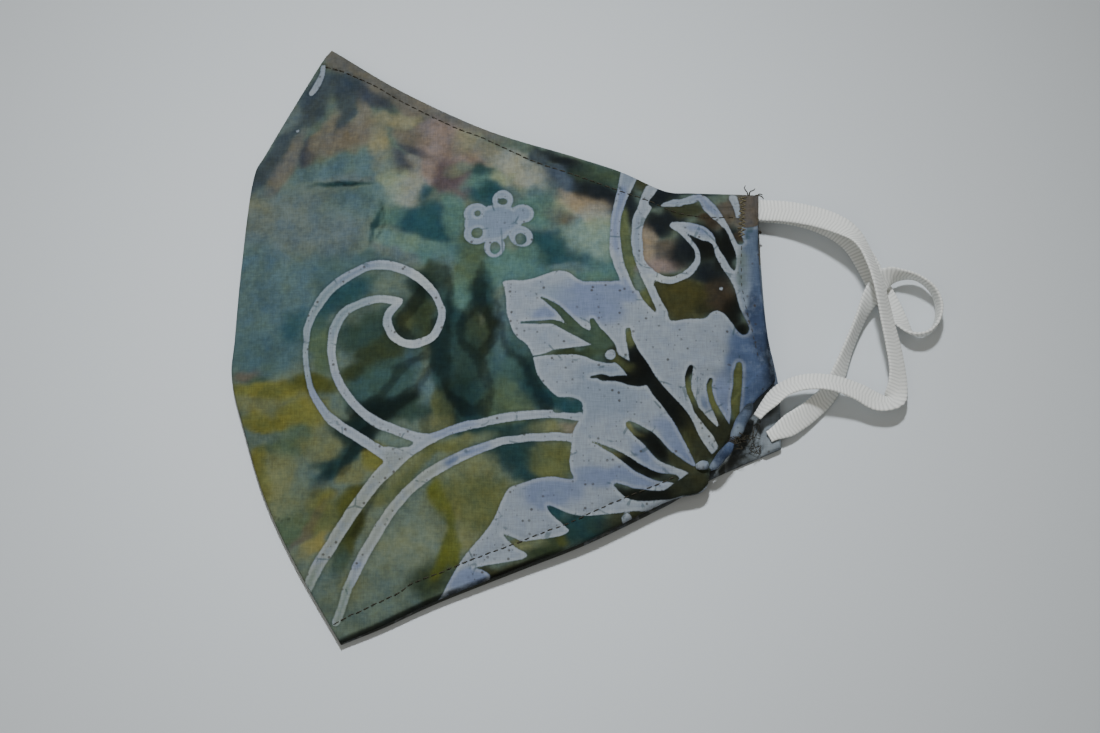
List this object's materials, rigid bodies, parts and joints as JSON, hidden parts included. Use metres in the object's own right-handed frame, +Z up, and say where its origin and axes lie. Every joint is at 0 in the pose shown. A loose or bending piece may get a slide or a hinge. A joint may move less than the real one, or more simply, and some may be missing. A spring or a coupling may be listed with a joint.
{
  "type": "cloth face mask",
  "caption": "Dyed cotton face mask folded flat at its curved centre seam, with turned side hems and white flat elastic ear loops lying beside it.",
  "frame": {"origin": "on the floor plane, under the middle of the cloth body's bounding box, ear loops left out", "axes": "+X from the centre seam to the ear side, +Y from the chin edge to the nose edge, +Z up from the surface it lies on"},
  "size_m": [0.1711, 0.1508, 0.0128],
  "materials": {
    "batik_cotton": "matt plain-weave cotton, batik dyed",
    "hem_cotton": "matt turned cotton hem",
    "white_elastic": "matt braided elastic"
  },
  "bodies": {
    "root": {"left_panel": "batik_cotton", "right_panel": "batik_cotton", "left_side_hem": "hem_cotton", "right_side_hem": "hem_cotton", "left_ear_loop": "white_elastic", "right_ear_loop": "white_elastic"}
  },
  "joints": []
}
